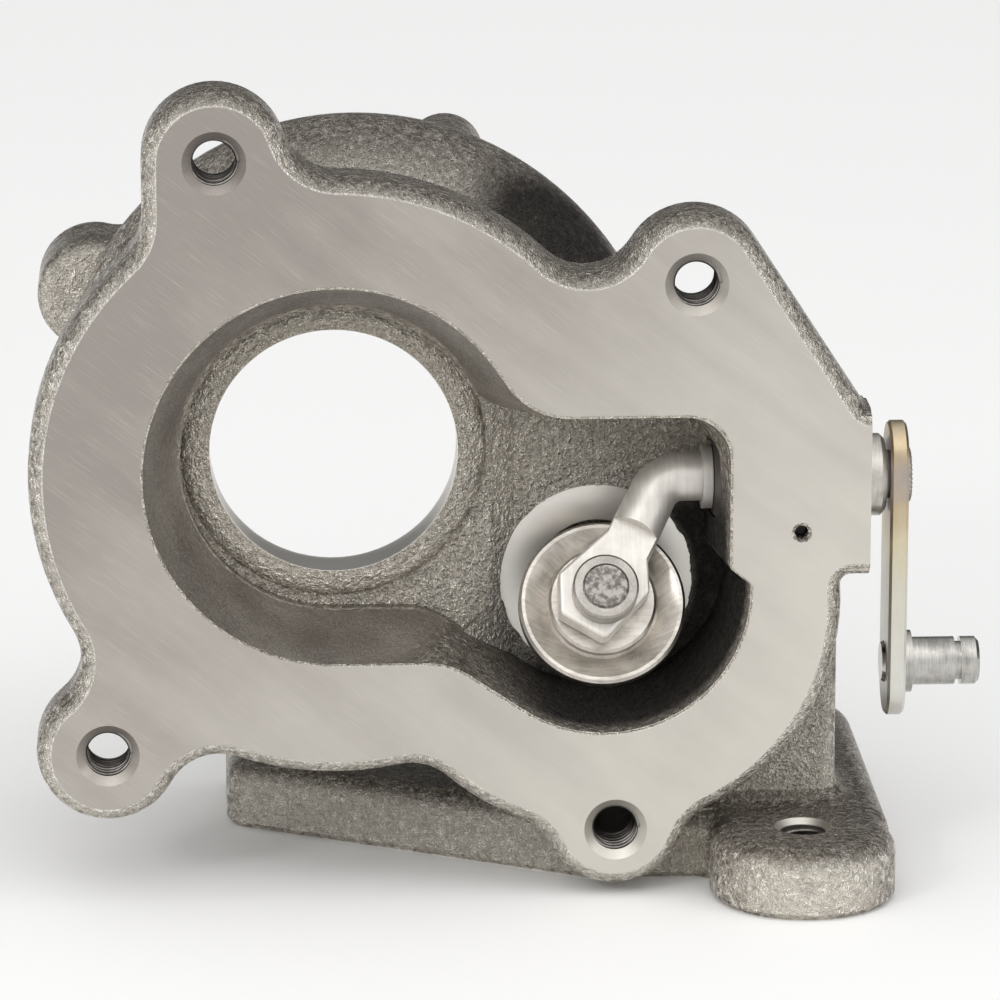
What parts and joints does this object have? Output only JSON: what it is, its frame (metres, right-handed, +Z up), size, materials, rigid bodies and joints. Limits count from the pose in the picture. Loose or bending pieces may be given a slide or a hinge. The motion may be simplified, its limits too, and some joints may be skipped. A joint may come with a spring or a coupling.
{
  "type": "turbine housing",
  "caption": "Cast turbocharger turbine housing with scroll, outlet and inlet flanges, and an internal wastegate valve on a swinging shaft worked by an outside crank lever.",
  "frame": {"origin": "where the turbine axis meets the joint face for the bearing housing", "axes": "+Y along the turbine axis out of the back towards the bearing housing, +Z up with the part standing on its inlet flange, +X towards the crank lever"},
  "size_m": [0.1391, 0.0858, 0.1206],
  "materials": {
    "cast_housing": "as cast, flanges machined",
    "bush_steel": "turned",
    "pin_steel": "plain",
    "arm_steel": "satin forged",
    "valve_steel": "satin turned",
    "washer_steel": "satin",
    "lever_steel": "plated, heat tinted at the weld",
    "crank_pin_steel": "turned bright"
  },
  "bodies": {
    "housing": {"housing_casting": "cast_housing", "wastegate_bush": "bush_steel", "bush_lock_pin": "pin_steel"},
    "arm": {"wastegate_arm": "arm_steel", "crank_lever": "lever_steel", "crank_pin": "crank_pin_steel"},
    "valve": {"wastegate_valve": "valve_steel", "valve_washer": "washer_steel"}
  },
  "joints": [
    {"name": "wastegate_swing", "type": "hinge", "parent": "housing", "child": "arm", "pos_m": [0.0389, -0.05, -0.0039], "axis": [-1, 0, 0], "range_deg": [-30.5, 25]},
    {"name": "valve_spin", "type": "hinge", "parent": "arm", "child": "valve", "pos_m": [0.0389, -0.05949, -0.01862], "axis": [0, -0.8616, 0.5075], "continuous": true}
  ]
}
